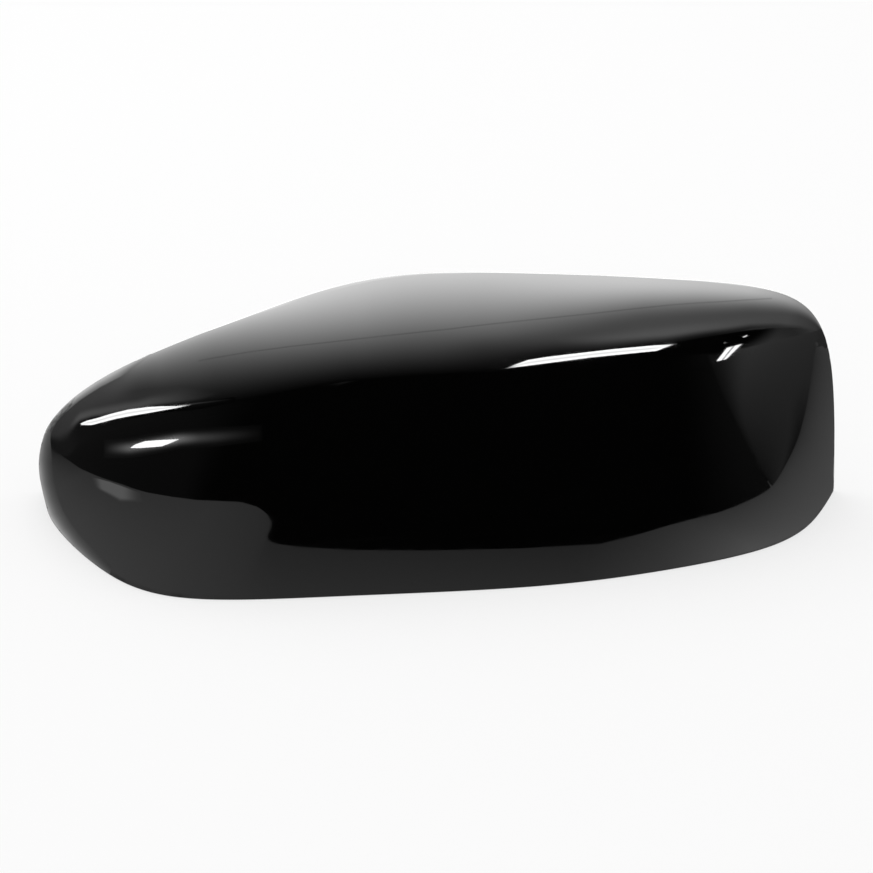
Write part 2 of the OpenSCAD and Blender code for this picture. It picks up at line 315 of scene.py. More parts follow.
# %% The loft as a node tree
def loft_tree():
    """Bends the net over the three rails and gives it its two finishes."""
    tree, given = tree_with("Mirror cap loft", {
        **{rail: "Object" for rail in guides},
        "Round at nose": "Float", "Round at end": "Float", "Tightness": "Float",
        "Outside finish": "Material", "Inside finish": "Material"})
    calc, move = partial(scalar, tree), partial(vector, tree)
    which = node(tree, "FunctionNodeFloatToInt", {"rounding_mode": "ROUND"},
                 {0: attribute(tree, "ring_index")}).outputs[0]
    along, across, depth = (attribute(tree, n) for n in ("along", "across", "depth"))
    position = tree.nodes.new("GeometryNodeInputPosition").outputs[0]

    def sampled(rail, field=position):
        """What a rail's point for this ring holds."""
        return node(tree, "GeometryNodeSampleIndex", {"data_type": "FLOAT_VECTOR", "domain": "POINT"},
                    {"Geometry": object_mesh(tree, given[rail]), "Value": field,
                     "Index": which}).outputs["Value"]

    lower, shoulder, rear = (sampled(rail) for rail in guides)
    outwards = attribute(tree, "outward", "FLOAT_VECTOR")
    out_low, out_rear = sampled("Lower rail", outwards), sampled("Rear rail", outwards)
    angle = calc("MULTIPLY", across, math.pi / 2)
    cosine = calc("MAXIMUM", calc("COSINE", angle), 0.0)
    sine = calc("MAXIMUM", calc("SINE", angle), 0.0)
    power = given["Tightness"]
    total = calc("ADD", calc("POWER", cosine, power), calc("POWER", sine, power))
    reach = calc("POWER", total, calc("DIVIDE", -1.0, power))
    span = calc("SUBTRACT", given["Round at end"], given["Round at nose"])
    soft = calc("ADD", given["Round at nose"], calc("MULTIPLY", span, along))
    tight = calc("SUBTRACT", 1.0, soft)
    gain = calc("ADD", soft, calc("MULTIPLY", tight, reach))
    c, s = calc("MULTIPLY", cosine, gain), calc("MULTIPLY", sine, gain)
    base = move("SUBTRACT", move("ADD", lower, rear), shoulder)
    forwards = move("SCALE", move("SUBTRACT", shoulder, rear), scale=c)
    upwards = move("SCALE", move("SUBTRACT", shoulder, lower), scale=s)
    skin = move("ADD", base, move("ADD", forwards, upwards))
    less = calc("SUBTRACT", power, 1.0)
    lean_low = move("SCALE", out_low, scale=calc("POWER", c, less))
    lean_rear = move("SCALE", out_rear, scale=calc("POWER", s, less))
    outward = move("NORMALIZE", move("ADD", lean_low, lean_rear))
    sunk = move("SUBTRACT", skin, move("SCALE", outward, scale=depth))
    bent = node(tree, "GeometryNodeSetPosition", None, {"Geometry": given["Geometry"], "Position": sunk})
    smooth = node(tree, "GeometryNodeSetShadeSmooth", None, {0: bent.outputs[0]})
    real = node(tree, "GeometryNodeRealizeInstances", None, {0: smooth.outputs[0]})
    is_inside = attribute(tree, "inside", "BOOLEAN")
    polished = node(tree, "GeometryNodeSetMaterial", None,
                    {"Geometry": real.outputs[0], "Material": given["Outside finish"]})
    satin = node(tree, "GeometryNodeSetMaterial", None,
                 {"Geometry": polished.outputs[0], "Selection": is_inside,
                  "Material": given["Inside finish"]})
    node(tree, "NodeGroupOutput", None, {0: satin.outputs[0]})
    return tree


# %% [markdown]
# ## Two finishes of one plastic
#
# Black ABS takes the face of its mould. Polished steel gives the outside a mirror with a trace of
# orange peel, a waviness of a few thousandths of a millimetre that bends the edges of highlights.
# The inside core is only spark eroded, so it comes out satin with a fine even grain.

# %% Colours and finishes


def light_of(tone):
    """Linear light of an sRGB tone of 0 to 255."""
    share = max(tone, 0) / 255
    return share / 12.92 if share <= 0.04045 else ((share + 0.055) / 1.055) ** 2.4


def linear(colour):
    """Linear red, green, blue and alpha of an sRGB hex colour."""
    return tuple(light_of(int(colour[i:i + 2], 16)) for i in (1, 3, 5)) + (1.0,)


ABS_IOR = 1.53
ORANGE_PEEL = 2.2 * MM
WIPED_PATCH = 7.2 * MM
EROSION = 0.5 * MM


def abs_plastic(name, colour, grain, depth, roughness, spread):
    """Black ABS whose bump has a grain size and depth, and whose roughness wanders a little."""
    finish = bpy.data.materials.new(name)
    finish.use_nodes = True
    tree = finish.node_tree
    shader = tree.nodes["Principled BSDF"]
    shader.inputs["Base Color"].default_value = linear(colour)
    shader.inputs["IOR"].default_value = ABS_IOR
    place = node(tree, "ShaderNodeTexCoord").outputs["Object"]
    waves = node(tree, "ShaderNodeTexNoise", None, {"Vector": place, "Scale": 1 / grain, "Detail": 1.5})
    bump = node(tree, "ShaderNodeBump", None,
                {"Height": waves.outputs[0], "Distance": depth, "Strength": 1.0})
    tree.links.new(bump.outputs[0], shader.inputs["Normal"])
    wipes = node(tree, "ShaderNodeTexNoise", None,
                 {"Vector": place, "Scale": 1 / WIPED_PATCH, "Detail": 4.0})
    handled = node(tree, "ShaderNodeMapRange", None,
                   {"Value": wipes.outputs[0], "From Min": 0.35, "From Max": 0.7,
                    "To Min": roughness, "To Max": roughness + spread})
    tree.links.new(handled.outputs[0], shader.inputs["Roughness"])
    return finish


polished = abs_plastic("Moulded gloss ABS", "#030303", grain=ORANGE_PEEL, depth=0.0006 * MM,
                       roughness=0.02, spread=0.03)
satin = abs_plastic("As-moulded satin ABS", "#17181a", grain=EROSION, depth=0.02 * MM,
                    roughness=0.34, spread=0.1)
print("finishes are", polished.name, "outside and", satin.name, "inside")

# %% Bend the net into the cap
SHARP = math.radians(38)
SCAFFOLD = ("ring_index", "along", "across", "depth", "inside", "root")


def run_tree(thing, tree, values):
    """Runs a node tree on an object and keeps the result as its plain mesh."""
    modifier = thing.modifiers.new(tree.name, "NODES")
    modifier.node_group = tree
    named = {item.name: item.identifier for item in tree.interface.items_tree if item.in_out == "INPUT"}
    for name, value in values.items():
        modifier[named[name]] = value
    bpy.context.view_layer.update()
    evaluated = thing.evaluated_get(bpy.context.evaluated_depsgraph_get())
    mesh = bpy.data.meshes.new_from_object(evaluated)
    thing.modifiers.remove(modifier)
    thing.data = mesh
    mesh.set_sharp_from_angle(angle=SHARP)
    for name in SCAFFOLD:
        if name in mesh.attributes:
            mesh.attributes.remove(mesh.attributes[name])
    return thing


def declare(piece):
    """Hangs a piece on the root body in place of the moulding, which it hides, and prints its triangles."""
    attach(piece, "root")
    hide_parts("mirror_cover")
    print(piece.name, "has", sum(len(p.vertices) - 2 for p in piece.data.polygons), "triangles")


cap = run_tree(unrolled_net(), loft_tree(),
               {**guides, "Round at nose": ROUND_NOSE, "Round at end": ROUND_END, "Tightness": TIGHTNESS,
                "Outside finish": polished, "Inside finish": satin})
cap.name = "cap_shell"
xs, ys, zs = zip(*(v.co for v in cap.data.vertices))
stretch = Vector((BODY_L / (max(xs) - min(xs)), BODY_D / (REAR_Y - min(ys)), BODY_H / max(zs)))
rear_edge = Vector((0, REAR_Y, 0))
for vertex in cap.data.vertices:
    vertex.co = rear_edge + Vector(a * s for a, s in zip(vertex.co - rear_edge, stretch))
    vertex.co.y = min(vertex.co.y, REAR_Y)
for guide in guides.values():
    bpy.data.objects.remove(guide)
print("the loft is brought out by", [round(s, 4) for s in stretch])
declare(cap)

# %% [markdown]
# ## Hooks, gussets and pegs
#
# A cap like this clicks on with sprung tongues: three hang under the roof, three stand out from
# the foot of the face, and two pegs on flared feet find holes in the mirror housing. Each tongue is
# the same moulded shape, so one node tree sets copies in a row and then lets their roots grow
# out until they meet the wall, whatever the curve does there.

# %% Sizes of the fittings
HOOK_WIDTH, HOOK_THICKNESS, HOOK_LENGTH = 12 * MM, 2.2 * MM, 18 * MM
BARB, GUSSET, HOOK_GAP = 2 * MM, 1.5 * MM, 5 * MM
UPPER_MIDDLE, UPPER_PITCH = 26 * MM, 46 * MM
LOWER_MIDDLE, LOWER_PITCH, LOWER_Z = -6 * MM, 50 * MM, 12 * MM
SOFTENED = 0.3 * MM
BURY = 1.0 * MM
HANG_START, STAND_START = 0.4 * MM, 1.4 * MM
# A hook's root points lie past these lines, which run just inside its root faces
HANG_ROOT, BRACE_ROOT, STAND_ROOT = 0.97 * HANG_START, -1.1 * HANG_START, 1.01 * STAND_START
WALL_SEARCH = 100 * MM
UP, FORWARD = Vector((0, 0, 1)), Vector((0, -1, 0))

skin_search = BVHTree.FromPolygons([v.co for v in cap.data.vertices],
                                   [tuple(p.vertices) for p in cap.data.polygons])


def wall_at(start, direction):
    """Where a line from inside the cap meets its wall."""
    return skin_search.ray_cast(Vector(start), direction)[0]


def slab(outline, centre, width):
    """Prism of a y-z outline, as corner points and faces, centred on x."""
    count = len(outline)
    corners = [Vector((centre + s * width / 2, y, z)) for s in (-1, 1) for y, z in outline]
    faces = [tuple(range(count)), tuple(2 * count - 1 - i for i in range(count))]
    faces += [(i, i + count, (i + 1) % count + count, (i + 1) % count) for i in range(count)]
    return corners, faces


def hook_shape(name, tongue, brace, is_root):
    """One hook: a softened tongue and two gussets, with the points that grow to the wall marked."""
    shape = bmesh.new()
    for outline, centre, width in ((tongue, 0, HOOK_WIDTH), (brace, -HOOK_WIDTH / 2 + GUSSET, GUSSET),
                                   (brace, HOOK_WIDTH / 2 - GUSSET, GUSSET)):
        corners, faces = slab(outline, centre, width)
        made = [shape.verts.new(c) for c in corners]
        for face in faces:
            shape.faces.new([made[i] for i in face])
    bmesh.ops.recalc_face_normals(shape, faces=shape.faces)
    edges = [e for e in shape.edges if not all(is_root(v.co) for v in e.verts)]
    bmesh.ops.bevel(shape, geom=edges, offset=SOFTENED, segments=3, profile=0.5, affect="EDGES")
    mesh = bpy.data.meshes.new(name)
    shape.to_mesh(mesh)
    shape.free()
    root = mesh.attributes.new("root", "BOOLEAN", "POINT")
    root.data.foreach_set("value", [is_root(v.co) for v in mesh.vertices])
    return placed(name, mesh)


def tongue_tip(side):
    """Free end of a tongue: its back, the lead-in of the barb, and the barb's catch."""
    nib = BARB * 2
    return [(HOOK_LENGTH, 0), (HOOK_LENGTH, side * HOOK_THICKNESS / 2),
            (HOOK_LENGTH - nib, side * (HOOK_THICKNESS + BARB)),
            (HOOK_LENGTH - nib - BARB / 4, side * HOOK_THICKNESS)]


half = HOOK_THICKNESS / 2
upper_hook = hook_shape(
    "hook_upper_shape",
    [(-HOOK_THICKNESS, HANG_START), (0, HANG_START), (0, 0), *tongue_tip(-1),
     (-HOOK_THICKNESS, -HOOK_THICKNESS)],
    [(-HOOK_THICKNESS - HOOK_GAP, -HANG_START), (-half, HANG_START), (-half, -half), (-3 * half, -half)],
    lambda p: p.z > HANG_ROOT or (p.y < -2 * HOOK_THICKNESS and p.z > BRACE_ROOT))
lower_hook = hook_shape(
    "hook_lower_shape",
    [(STAND_START, HOOK_THICKNESS), (STAND_START, 0), *tongue_tip(1)],
    [(STAND_START, half), (STAND_START, -HOOK_GAP), (HOOK_THICKNESS, -half), (HOOK_GAP, half)],
    lambda p: p.y < STAND_ROOT)
print("a hook's shape has", len(upper_hook.data.vertices), "points")

# %% A row of fittings as a node tree


def row_tree():
    """Sets one shape on each point of a row, and lets its root grow to the wall."""
    tree, given = tree_with("Row of fittings", {
        "Shape": "Object", "Wall": "Object", "Grows towards": "Vector", "Buried": "Float",
        "Finish": "Material"})
    copies = node(tree, "GeometryNodeInstanceOnPoints", None,
                  {"Points": given["Geometry"], "Instance": object_mesh(tree, given["Shape"])})
    real = node(tree, "GeometryNodeRealizeInstances", None, {0: copies.outputs[0]})
    meets = node(tree, "GeometryNodeRaycast", None,
                 {"Target Geometry": object_mesh(tree, given["Wall"]),
                  "Ray Direction": given["Grows towards"], "Ray Length": WALL_SEARCH})
    sunk = vector(tree, "SCALE", given["Grows towards"], scale=given["Buried"])
    there = vector(tree, "ADD", meets.outputs["Hit Position"], sunk)
    chosen = node(tree, "FunctionNodeBooleanMath", {"operation": "AND"},
                  {0: attribute(tree, "root", "BOOLEAN"), 1: meets.outputs["Is Hit"]})
    grown = node(tree, "GeometryNodeSetPosition", None,
                 {"Geometry": real.outputs[0], "Selection": chosen.outputs[0], "Position": there})
    smooth = node(tree, "GeometryNodeSetShadeSmooth", None, {0: grown.outputs[0]})
    finished = node(tree, "GeometryNodeSetMaterial", None,
                    {"Geometry": smooth.outputs[0], "Material": given["Finish"]})
    node(tree, "NodeGroupOutput", None, {0: finished.outputs[0]})
    return tree


row = row_tree()


def fittings(name, shape, spots, direction):
    """Copies of a shape at a list of places, grown onto the wall and kept as one plain mesh."""
    thing = placed(name, mesh_from(name, spots))
    run_tree(thing, row, {"Shape": shape, "Wall": cap, "Grows towards": direction,
                          "Buried": BURY, "Finish": satin})
    bpy.data.objects.remove(shape)
    declare(thing)


def row_of_three(middle, pitch):
    """Places of three hooks along x."""
    return [middle + i * pitch for i in (-1, 0, 1)]


hook_back = REAR_Y - WALL - HOOK_LENGTH
inside_z = BODY_H / 2
upper_spots = []
for x in row_of_three(UPPER_MIDDLE, UPPER_PITCH):
    roof = min(wall_at((x + s * HOOK_WIDTH / 2, hook_back, inside_z), UP).z for s in (-1, 1))
    upper_spots.append((x, hook_back, roof - HOOK_GAP))
lower_spots = []
for x in row_of_three(LOWER_MIDDLE, LOWER_PITCH):
    face_y = max(wall_at((x + s * HOOK_WIDTH / 2, hook_back, LOWER_Z), FORWARD).y for s in (-1, 1))
    lower_spots.append((x, face_y, LOWER_Z))
fittings("hooks_upper", upper_hook, upper_spots, UP)
fittings("hooks_lower", lower_hook, lower_spots, FORWARD)
print("upper hooks hang from", [round(s[2], 4) for s in upper_spots])

# %% Pegs turned on flared feet
PEG_RADIUS, PEG_LENGTH, PEG_SPAN, PEG_Z = 2.5 * MM, 8 * MM, 110 * MM, 36 * MM
BOSS_RADIUS, BOSS_REACH = 5.5 * MM, 44 * MM
BOSS_END = BOSS_REACH - BODY_D / 2
FOOT_RADIUS, FOOT_LENGTH, COLLAR = 8 * MM, 4 * MM, 0.8 * MM
PEG_BEVEL, BEVEL_STEPS = 0.6 * MM, 4
FLARE = 0.12
SIDES = 64


def turned_peg(x):
    """Points and faces of one peg at x, turned from the foot in the wall to the tip."""
    around = [(s * FOOT_RADIUS, 0) for s in (-1, 1)] + [(0, s * FOOT_RADIUS) for s in (-1, 1)]
    wall_y = max(wall_at((x + a, BOSS_END, PEG_Z + b), FORWARD).y for a, b in around)
    foot, tip = FOOT_LENGTH + wall_y - WALL / 2, BOSS_END + PEG_LENGTH
    collar, small = BOSS_RADIUS + COLLAR, SOFTENED
    turn = [math.pi / 2 * i / BEVEL_STEPS for i in range(1, BEVEL_STEPS + 1)]

    def bevelled(radius, end):
        """Rounded edge at the end of a cylinder."""
        return [(radius, end - PEG_BEVEL)] + [
            (radius - PEG_BEVEL * (1 - math.cos(a)), end - PEG_BEVEL * (1 - math.sin(a))) for a in turn]

    # Radius and y of each ring; the first one follows the wall
    profile = [(FOOT_RADIUS, None), (collar + FLARE * (FOOT_RADIUS - collar), foot - small),
               (collar - small * 0.3, foot - small * 0.3), (collar - small, foot),
               (BOSS_RADIUS + small * 0.7, foot), (BOSS_RADIUS + small * 0.2, foot + small * 0.3),
               (BOSS_RADIUS, foot + small), *bevelled(BOSS_RADIUS, BOSS_END),
               (PEG_RADIUS + small, BOSS_END), (PEG_RADIUS + small * 0.3, BOSS_END + small * 0.3),
               (PEG_RADIUS, BOSS_END + small), *bevelled(PEG_RADIUS, tip)]
    verts, faces = [], []
    for radius, y in profile:
        for i in range(SIDES):
            angle = 2 * math.pi * i / SIDES
            at = Vector((x + radius * math.cos(angle), y or 0, PEG_Z + radius * math.sin(angle)))
            if y is None:
                at.y = wall_at((at.x, BOSS_END, at.z), FORWARD).y - BURY
            verts.append(at)
    for ring_no in range(len(profile) - 1):
        for i in range(SIDES):
            k = (i + 1) % SIDES
            a, b = ring_no * SIDES, (ring_no + 1) * SIDES
            faces.append((a + i, b + i, b + k, a + k))
    faces.append(tuple(range(SIDES)))
    faces.append(tuple(len(verts) - 1 - i for i in range(SIDES)))
    return verts, faces


verts, faces = [], []
for s in (-1, 1):
    more, more_faces = turned_peg(s * PEG_SPAN / 2)
    faces += [tuple(len(verts) + i for i in f) for f in more_faces]
    verts += more
pegs = placed("pegs", mesh_from("pegs", verts, faces))
turned = bmesh.new()
turned.from_mesh(pegs.data)
bmesh.ops.recalc_face_normals(turned, faces=turned.faces)
turned.to_mesh(pegs.data)
turned.free()
pegs.data.shade_smooth()
pegs.data.set_sharp_from_angle(angle=SHARP)
pegs.data.materials.append(satin)
declare(pegs)

# %% [markdown]
# ## The camera
#
# The photograph looks straight at the cap's face from a little above, through a long lens. The
# distance and height were found by laying the model's outline over the photographed one.

# %% Camera
IMAGE = 873
SENSOR = 36.0
LENS = 122.5
CAMERA_DISTANCE = 0.9
CAMERA_HEIGHT = math.radians(24)
TARGET = Vector((-0.00065, -0.0008, 0.03645))

away = Vector((0, -math.cos(CAMERA_HEIGHT), math.sin(CAMERA_HEIGHT)))
eye = TARGET + CAMERA_DISTANCE * away
camera_data = bpy.data.cameras.new("camera")
camera_data.lens, camera_data.sensor_width = LENS, SENSOR
camera_data.dof.use_dof = False
camera = placed("camera", camera_data)
camera.location = eye
camera.rotation_euler = (TARGET - eye).to_track_quat("-Z", "Y").to_euler()
bpy.context.scene.camera = camera
right, upright = Vector((1, 0, 0)), Vector((0, math.sin(CAMERA_HEIGHT), math.cos(CAMERA_HEIGHT)))
print("camera stands at", [round(c, 3) for c in eye])


def sight(px, py):
    """Direction from the camera through a pixel of the photograph."""
    scale = SENSOR / LENS / IMAGE
    return (-away + right * (px - IMAGE / 2) * scale + upright * (IMAGE / 2 - py) * scale).normalized()


def mirrored(px, py):
    """Point of the skin seen at a pixel, and the direction in which its gloss looks from there."""
    ray = sight(px, py)
    spot, _, index, _ = skin_search.ray_cast(eye, ray)
    if spot is None:
        return None
    corners = [cap.data.vertices[i] for i in cap.data.polygons[index].vertices]
    weights = poly_3d_calc([c.co for c in corners], spot)
    normal = sum((w * c.normal for w, c in zip(weights, corners)), Vector()).normalized()
    return spot, (ray - 2 * ray.dot(normal) * normal).normalized()


# %% [markdown]
# ## A tent of light and dark
#
# Gloss black is photographed by building what it should mirror. Here that is a black tent with one
# large softbox behind and above the cap, a dimmer ceiling on its right, and a grey wall beyond. The
# tent is only there for reflections: the camera, the floor and the shadows don't know about it.

# %% The tent
TENT_RADIUS = 3.0
TENT_CENTRE = Vector((0, 0, 0.04))
TENT_LOW, TENT_TOP, TENT_STEP = -1, 90, 2
SOFTBOX, CEILING, SIDE_WALL, DIM = 4.6, 1.15, 0.65, 0.28
SKIRTING, NOSE_WALL, LEFT_HAZE = 1.6, 0.18, 0.045
WHITE = "#ffffff"


def ease(start, stop, value):
    """Smooth step from 0 at start to 1 at stop, which may lie either way round."""
    t = min(max((value - start) / (stop - start), 0.0), 1.0)
    return t * t * (3 - 2 * t)


def tent_glow(d):
    """Radiance of the tent in direction d. The softbox lies along x like an awning, so it is
    described by how far d leans sideways and how far it has turned up from the back horizon,
    in degrees. Each ease() gives the two angles between which an edge fades."""
    lean, height = (math.degrees(math.asin(max(-1, min(1, part)))) for part in (d.x, d.z))
    turn, azimuth = (math.degrees(math.atan2(part, d.y)) for part in (d.z, d.x))
    # Front edge of the awning: two straight edges that meet in a blunt corner overhead
    ahead = min(d.y + 1.5 * d.x + 0.335 * d.z, (d.y - 0.35 * d.x + 0.12 * d.z) * 1.4)
    inside = ease(-0.07, 0.05, ahead)
    narrow = max(turn - 38, 0) * 0.8
    box = min(max((98 - turn) / 56, 0), 1) ** 1.25 * ease(-31, -5, lean)
    box *= ease(34 - narrow, max(12 - narrow, -1), lean)
    ceiling = ease(-6, 8, lean) * ease(61, 37, lean) * (1.0 if turn > 20 else 0.9)
    skirting = SKIRTING * ease(15, 5, height) * ease(-33, -22, lean) * ease(40, 20, lean)
    skirting *= ease(-0.1, 0.2, d.y)
    awning = inside * max(SOFTBOX * box + CEILING * ceiling, DIM) + skirting
    wall = SIDE_WALL * (0.38 + 0.62 * ease(68, 112, azimuth))
    wall *= ease(122, 119, azimuth) * ease(34, 52, azimuth)
    wall *= ease(52, 41, height) * (0.35 + 0.65 * ease(-6, 26, height))
    near_nose = NOSE_WALL * ease(-52, -44, azimuth) * ease(34, 24, height) * ease(0, -20, azimuth)
    return max(awning, wall, near_nose, LEFT_HAZE * ease(-20, -40, lean))


# %% Cloth that lights nothing but reflections
def bare(thing):
    """Empty node tree of a new material or world."""
    thing.use_nodes = True
    thing.node_tree.nodes.clear()
    return thing.node_tree


def show(tree, shader, kind="ShaderNodeOutputMaterial"):
    """Sends a shader node to the tree's output."""
    node(tree, kind, None, {"Surface": shader.outputs[0]})


# Light cloth, whose brightness is each sheet's own glow attribute
cloth = bpy.data.materials.new("Tent cloth")
tree = bare(cloth)
glow = node(tree, "ShaderNodeAttribute", {"attribute_name": "glow"}).outputs["Fac"]
show(tree, node(tree, "ShaderNodeEmission", None, {"Color": linear(WHITE), "Strength": glow}))


def hang_sheet(name, points, width, glows, wrap=False, cloth=cloth):
    """Grid of points in rows of a width, hung where only glossy reflections meet it."""
    corners = [(r * width, c, (c + 1) % width)
               for r in range(len(points) // width - 1) for c in range(width if wrap else width - 1)]
    faces = [(at + c, at + d, at + width + d, at + width + c) for at, c, d in corners]
    mesh = mesh_from(name, points, faces)
    mesh.attributes.new("glow", "FLOAT", "POINT").data.foreach_set("value", glows)
    mesh.materials.append(cloth)
    sheet = placed(name, mesh)
    sheet.visible_camera = sheet.visible_diffuse = sheet.visible_shadow = False
    sheet.visible_transmission = sheet.visible_volume_scatter = False
    print(name, "hangs as", len(points), "points")


# %% Hang the tent
tent_points, tent_glows = [], []
for height in range(TENT_LOW, TENT_TOP):
    for turn in range(0, 360, TENT_STEP):
        a, e = math.radians(turn), math.radians(height)
        d = Vector((math.sin(a) * math.cos(e), math.cos(a) * math.cos(e), math.sin(e)))
        tent_points.append(TENT_CENTRE + TENT_RADIUS * d)
        tent_glows.append(tent_glow(d))
hang_sheet("tent", tent_points, 360 // TENT_STEP, tent_glows, wrap=True)

# %% [markdown]
# ## Lamps hung by their reflections
#
# A highlight is a lamp seen in the mirror of the skin. So each lamp is placed backwards: from the
# camera through a pixel to the skin, off the skin like a billiard ball, and out to where the lamp
# hangs. Two lines of pixels give a lamp's upper and lower edge. Plastic mirrors only a twentieth
# of the light it meets squarely, and nearly all of it at a graze, so each lamp's radiance is the
# tone wanted on film divided by that share.

# %% Sheets between two lines of pixels
# A lamp that hangs nearer to the skin hides those behind it
TUBE_DISTANCE, PATCH_DISTANCE, EDGE_DISTANCE, FLOOR_DISTANCE = 0.7, 0.75, 0.76, 0.78
PANEL_DISTANCE, HAZE_DISTANCE, SEAM_DISTANCE, ROOF_DISTANCE = 0.8, 0.85, 2.0, 2.2
NEAR_FLOOR = 0.3 * MM
CAP_MIDDLE = (436, 440)


def mirror_share(cosine):
    """Share of light that bare ABS reflects, by the cosine of the angle to its normal."""
    g = math.sqrt(ABS_IOR ** 2 - 1 + cosine ** 2)
    across = (g - cosine) / (g + cosine)
    along = (cosine * (g + cosine) - 1) / (cosine * (g - cosine) + 1)
    return 0.5 * across ** 2 * (1 + along ** 2)


def spread(line, count):
    """Evenly spaced points on a line of pixels."""
    lengths = [math.dist(a, b) for a, b in zip(line, line[1:])]
    total = sum(lengths)
    made = []
    for i in range(count):
        left = total * i / (count - 1)
        for (a, b), length in zip(zip(line, line[1:]), lengths):
            if left <= length or (a, b) == (line[-2], line[-1]):
                t = min(left / length, 1)
                made.append((a[0] + (b[0] - a[0]) * t, a[1] + (b[1] - a[1]) * t))
                break
            left -= length
    return made


def hung(px, py, distance, clear):
    """Where the gloss at a pixel looks, as far as the lamp, or as near as the floor, and the share
    it reflects. A pixel that just misses the cap is brought in until it meets the skin."""
    seen = mirrored(px, py)
    while seen is None:
        off = math.dist((px, py), CAP_MIDDLE)
        px, py = px + (CAP_MIDDLE[0] - px) / off, py + (CAP_MIDDLE[1] - py) / off
        seen = mirrored(px, py)
    spot, way = seen
    if way.z < 0:
        distance = min(distance, max(spot.z - clear, 0) / -way.z)
    cosine = math.sqrt(max(1 - way.dot(sight(px, py)), 0) / 2)
    return spot + way * distance, mirror_share(cosine)


def pixel_lamp(name, upper, lower, tone, distance, along=40, across=6, clear=NEAR_FLOOR, cloth=cloth):
    """Lamp whose reflection fills the space between two lines of pixels; tone(s, t) is how it
    comes out on film, s along the lines and t from the upper to the lower. Over 255 it burns out.
    Sheets that lie on the floor differ in how clear of it they are, so that none cuts another."""
    points, glows = [], []
    for j in range(across + 1):
        t = j / across
        for i, (a, b) in enumerate(zip(spread(upper, along + 1), spread(lower, along + 1))):
            at, share = hung(a[0] + (b[0] - a[0]) * t, a[1] + (b[1] - a[1]) * t, distance, clear)
            points.append(at)
            glows.append(light_of(tone(i / along, t)) / share)
    hang_sheet(name, points, along + 1, glows, cloth=cloth)


def ramp(value, *stops):
    """Straight lines through stops of value and level."""
    for (a, low), (b, high) in zip(stops, stops[1:]):
        if value <= b:
            return low + (high - low) * max(value - a, 0) / (b - a)
    return stops[-1][1]


print("plastic mirrors", round(mirror_share(1), 3), "of the light it meets squarely")

# %% [markdown]
# ### The roof
#
# The rear half of the cap mirrors the big softbox behind it. On the left the light falls off
# evenly to the shoulder; on the right it drops to a dimmer ceiling that ends in a soft edge.

# %% Roof light
def roof_tone(s, t):
    """Tone of the roof, from the nose to the blunt end along s and from the rim to the foot along t."""
    top = ramp(s, (0, 195), (0.08, 180), (0.17, 190), (0.31, 202), (0.77, 200), (0.9, 188),
               (0.95, 158), (0.98, 118), (1, 110))
    power = ramp(s, (0, 0.55), (0.03, 0.35), (0.08, 0.28), (0.12, 0.38), (0.14, 0.43), (0.17, 0.55),
                 (0.24, 0.64), (0.3, 0.82), (0.35, 1.0), (0.42, 1.2), (1, 1.2))
    slope = top * (1 - t ** power)
    knee = ramp(s, (0.6, 0.8), (0.7, 0.72), (0.77, 0.64), (0.93, 0.64), (1, 0.5))
    shelf = ramp(s, (0.63, 62), (0.77, 69), (0.95, 67), (1, 45))
    shelf += 10 * ease(0.68, 0.82, t) * ease(0.95, 0.8, s)
    step = shelf + (top - shelf) * (1 - ease(0.02, knee, t))
    fall, end = ramp(s, (0.66, 0.7), (0.8, 0.84)), ramp(s, (0.66, 0.92), (0.8, 1.0))
    step *= 1 - ease(fall, end, t) * ramp(s, (0.86, 0.85), (0.95, 0.3), (1, 0))
    slope *= 1 - 0.2 * ease(0.6, 0.8, t) * ease(0.5, 0.6, s)
    tone = slope + (step - slope) * ease(0.54, 0.74, s)
    # Near the nose the light falls to a grey shelf, which ends in a faint ridge above the strip
    brink = ramp(s, (0.03, 0.62), (0.06, 0.52), (0.09, 0.68), (0.12, 0.8), (0.14, 0.86), (0.2, 0.88))
    soft = ramp(s, (0.04, 0.15), (0.06, 0.04))
    shelf_ends = ease(brink + soft, brink - soft, t)
    start = ramp(s, (0.02, 48), (0.06, 56), (0.09, 62), (0.12, 76), (0.14, 90))
    low = ramp(s, (0.03, 20), (0.045, 20), (0.06, 15), (0.1, 12))
    near = low + (start + (46 - start) * ease(0.12, 0.7, t) - low) * shelf_ends
    far = max(tone, 45 * shelf_ends * ease(0.3, 0.18, s))
    ridge = 24 * ease(0.14, 0.0, abs(t - brink + 0.07)) * ease(0.04, 0.06, s) * ease(0.22, 0.14, s)
    return near + (far - near) * ease(0.11, 0.145, s) + ridge


roof_rim = [
    (45, 431), (53, 419.3), (61, 410.5), (69, 403), (77, 396.3), (85, 390.4), (100, 380), (125, 366.6),
    (150, 354.5), (175, 344), (200, 334), (225, 325), (250, 316), (275, 308), (300, 300.5), (325, 293.3),
    (350, 286), (375, 280.5), (400, 276.5), (425, 274.2), (450, 273.6), (475, 272.8), (500, 272.9),
    (550, 274), (600, 275.5), (650, 278), (700, 281.2), (725, 283.8), (750, 286.9), (775, 292),
    (790, 297), (800, 302.5), (809, 309.5), (815, 317), (820, 326)]
roof_foot = [
    (48, 437), (51, 448), (58, 455), (68, 456), (78, 446), (92, 436), (125, 421), (150, 414), (200, 409),
    (250, 399), (300, 389), (350, 381), (400, 377), (450, 374), (500, 371), (550, 364), (600, 357),
    (650, 347), (700, 338), (725, 334), (750, 329), (776, 327), (800, 328), (815, 332), (825, 337)]
pixel_lamp("card_roof", roof_rim, roof_foot, roof_tone, ROOF_DISTANCE, along=180, across=50)

# %% [markdown]
# ### The floor in front, the edges and the corner
#
# Grey paper in front of the cap makes the band along its foot. Round the nose the skin turns away
# until it grazes, and a bright line runs along the edge. The blunt end mirrors a grey panel.

